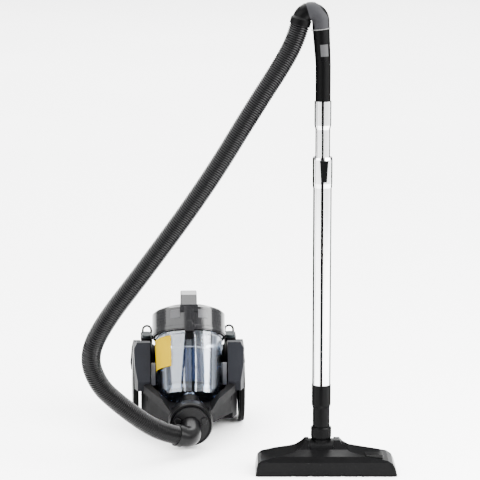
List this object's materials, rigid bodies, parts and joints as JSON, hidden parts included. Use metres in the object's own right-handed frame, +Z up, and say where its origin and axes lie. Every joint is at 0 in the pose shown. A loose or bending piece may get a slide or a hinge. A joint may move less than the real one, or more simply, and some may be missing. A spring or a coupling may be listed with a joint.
{
  "type": "canister vacuum cleaner",
  "caption": "Bagless wheeled canister vacuum cleaner with a lift-out dust cup, a corrugated hose, a telescopic wand and a floor head.",
  "frame": {"origin": "centre of the machine's outline on the floor, at floor level", "axes": "+Z up along the wand, -Y towards the canister's hose port and the head's front edge, +X from the canister towards the wand"},
  "size_m": [0.5964, 0.5345, 0.8883],
  "materials": {
    "dark_casing": "fine satin moulded plastic, charcoal",
    "wing_plastic": "satin moulded plastic, dark grey",
    "black_plastic": "moulded plastic, black",
    "gloss_black": "polished moulded plastic, black",
    "grey_plastic": "moulded plastic, mid grey",
    "teal_pedal": "moulded plastic, blue grey",
    "clear_cup": "clear smoked moulding",
    "lid_gloss": "polished moulded plastic, dark grey",
    "blue_filter": "pleated filter paper, blue",
    "white_media": "filter fleece, white",
    "foam": "open foam, black",
    "seal_rubber": "soft rubber, black",
    "tyre_rubber": "soft tyre, black",
    "chrome_tube": "polished plated tube",
    "pin_steel": "turned steel pin",
    "motor_steel": "pressed steel",
    "hose_plastic": "flexible corrugated plastic, black",
    "sticker": "blank label, yellow",
    "bristles": "short stiff bristles, black"
  },
  "bodies": {
    "casing_and_wand": {"base_tub": "dark_casing", "upper_housing": "dark_casing", "front_deck": "dark_casing", "side_wing_left": "wing_plastic", "side_wing_right": "wing_plastic", "shoulder_loops": "black_plastic", "port_collar": "black_plastic", "inlet_duct": "black_plastic", "hose_elbow": "grey_plastic", "motor_can": "motor_steel", "hepa_filter": "white_media", "reel_axle": "pin_steel", "cord_outlet": "black_plastic", "power_switch": "black_plastic", "rear_axles": "pin_steel", "outer_tube": "chrome_tube", "wand_collar": "chrome_tube", "glide_bush": "grey_plastic", "head_cuff": "black_plastic", "hose": "hose_plastic"},
    "dust_cup_body": {"dust_cup": "clear_cup", "cup_base": "clear_cup", "cup_seal": "seal_rubber", "cup_sticker": "sticker"},
    "cup_lid_body": {"cup_lid": "lid_gloss", "carry_handle": "lid_gloss", "cyclone_filter": "blue_filter", "filter_foot": "black_plastic", "filter_shroud": "grey_plastic", "foam_filter": "foam"},
    "lid_button_body": {"lid_button": "lid_gloss"},
    "elbow_button_right_body": {"elbow_button_right": "grey_plastic"},
    "elbow_button_left_body": {"elbow_button_left": "grey_plastic"},
    "motor_body": {"motor_rotor": "motor_steel", "motor_fan": "grey_plastic"},
    "reel_body": {"cord_reel": "grey_plastic"},
    "power_pedal_body": {"power_pedal": "teal_pedal"},
    "rewind_pedal_body": {"rewind_pedal": "teal_pedal"},
    "right_wheel_body": {"wheel_right": "grey_plastic", "tyre_right": "tyre_rubber"},
    "left_wheel_body": {"wheel_left": "grey_plastic", "tyre_left": "tyre_rubber"},
    "caster_body": {"caster_fork": "black_plastic", "caster_pin": "pin_steel"},
    "caster_wheel_body": {"caster_wheel": "black_plastic"},
    "exhaust_door_body": {"exhaust_door": "black_plastic"},
    "wand_upper": {"inner_tube": "chrome_tube", "foot_ring": "black_plastic", "handle_shell": "black_plastic", "hose_cuff": "black_plastic", "handle_pad": "grey_plastic"},
    "suction_slider_body": {"suction_slider": "grey_plastic"},
    "collar_button_body": {"collar_button": "gloss_black"},
    "neck_body": {"neck": "black_plastic"},
    "floor_head": {"head_shell": "gloss_black", "sole_plate": "black_plastic", "roller_axles": "pin_steel"},
    "brush_strip_body": {"brush_strip": "bristles"},
    "brush_pedal_body": {"brush_pedal": "grey_plastic"},
    "roller_body": {"head_rollers": "grey_plastic"}
  },
  "joints": [
    {"name": "cup_lift", "type": "slide", "parent": "casing_and_wand", "child": "dust_cup_body", "axis": [-0.0174, 0.4537, 0.891], "range_m": [0, 0.2]},
    {"name": "lid_lift", "type": "slide", "parent": "dust_cup_body", "child": "cup_lid_body", "axis": [-0.0174, 0.4537, 0.891], "range_m": [0, 0.12]},
    {"name": "lid_button_press", "type": "slide", "parent": "cup_lid_body", "child": "lid_button_body", "axis": [-0.0342, 0.8904, -0.454], "range_m": [0, 0.002], "stiffness_N_per_m": 500, "springref_m": -0.002},
    {"name": "elbow_button_right_press", "type": "slide", "parent": "casing_and_wand", "child": "elbow_button_right_body", "axis": [-0.9993, -0.0384, 0], "range_m": [0, 0.0012], "stiffness_N_per_m": 400, "springref_m": -0.002},
    {"name": "elbow_button_left_press", "type": "slide", "parent": "casing_and_wand", "child": "elbow_button_left_body", "axis": [0.9993, 0.0384, 0], "range_m": [0, 0.0012], "stiffness_N_per_m": 400, "springref_m": -0.002},
    {"name": "motor_spin", "type": "hinge", "parent": "casing_and_wand", "child": "motor_body", "pos_m": [-0.14401, 0.20297, 0.078], "axis": [0.9993, 0.0384, 0], "continuous": true},
    {"name": "reel_spin", "type": "hinge", "parent": "casing_and_wand", "child": "reel_body", "pos_m": [-0.21196, 0.20036, 0.078], "axis": [0.9993, 0.0384, 0], "continuous": true},
    {"name": "power_pedal_press", "type": "slide", "parent": "casing_and_wand", "child": "power_pedal_body", "axis": [0, 0, -1], "range_m": [0, 0.004], "stiffness_N_per_m": 600, "springref_m": -0.003},
    {"name": "rewind_pedal_press", "type": "slide", "parent": "casing_and_wand", "child": "rewind_pedal_body", "axis": [0, 0, -1], "range_m": [0, 0.004], "stiffness_N_per_m": 600, "springref_m": -0.003},
    {"name": "right_wheel_spin", "type": "hinge", "parent": "casing_and_wand", "child": "right_wheel_body", "pos_m": [-0.03448, 0.16515, 0.078], "axis": [0.9993, 0.0384, 0], "continuous": true},
    {"name": "left_wheel_spin", "type": "hinge", "parent": "casing_and_wand", "child": "left_wheel_body", "pos_m": [-0.25032, 0.15685, 0.078], "axis": [0.9993, 0.0384, 0], "continuous": true},
    {"name": "caster_swivel", "type": "hinge", "parent": "casing_and_wand", "child": "caster_body", "pos_m": [-0.13749, 0.03309, 0.037], "axis": [0, 0, 1], "continuous": true},
    {"name": "caster_wheel_spin", "type": "hinge", "parent": "caster_body", "child": "caster_wheel_body", "pos_m": [-0.13791, 0.04409, 0.014], "axis": [0.9993, 0.0384, 0], "continuous": true},
    {"name": "exhaust_door_open", "type": "hinge", "parent": "casing_and_wand", "child": "exhaust_door_body", "pos_m": [-0.13839, 0.26498, 0.08155], "axis": [-0.9993, -0.0384, 0], "range_deg": [0, 80]},
    {"name": "wand_telescope", "type": "slide", "parent": "casing_and_wand", "child": "wand_upper", "axis": [0, 0, 1], "range_m": [-0.04, 0.28], "deforming": ["hose"]},
    {"name": "suction_slider_move", "type": "slide", "parent": "wand_upper", "child": "suction_slider_body", "axis": [0.0635, 0, -0.998], "range_m": [0, 0.008]},
    {"name": "collar_button_press", "type": "slide", "parent": "casing_and_wand", "child": "collar_button_body", "axis": [0, 0, -1], "range_m": [0, 0.005], "stiffness_N_per_m": 500, "springref_m": -0.003},
    {"name": "neck_swivel", "type": "hinge", "parent": "casing_and_wand", "child": "neck_body", "pos_m": [0.1165, -0.21, 0.084], "axis": [0, 0, 1], "range_deg": [-90, 90]},
    {"name": "head_pitch", "type": "hinge", "parent": "neck_body", "child": "floor_head", "pos_m": [0.1165, -0.21, 0.032], "axis": [1, 0, 0], "range_deg": [0, 75]},
    {"name": "brush_pedal_press", "type": "slide", "parent": "floor_head", "child": "brush_pedal_body", "axis": [0, 0, -1], "range_m": [0, 0.003], "stiffness_N_per_m": 500, "springref_m": -0.002},
    {"name": "brush_strip_lift", "type": "slide", "parent": "floor_head", "child": "brush_strip_body", "axis": [0, 0, 1], "range_m": [0, 0.003]},
    {"name": "head_roller_spin", "type": "hinge", "parent": "floor_head", "child": "roller_body", "pos_m": [0.1255, -0.21, 0.007], "axis": [1, 0, 0], "continuous": true}
  ],
  "couplings": [
    {"joint": "brush_strip_lift", "follows": "brush_pedal_press", "ratio": 1}
  ]
}
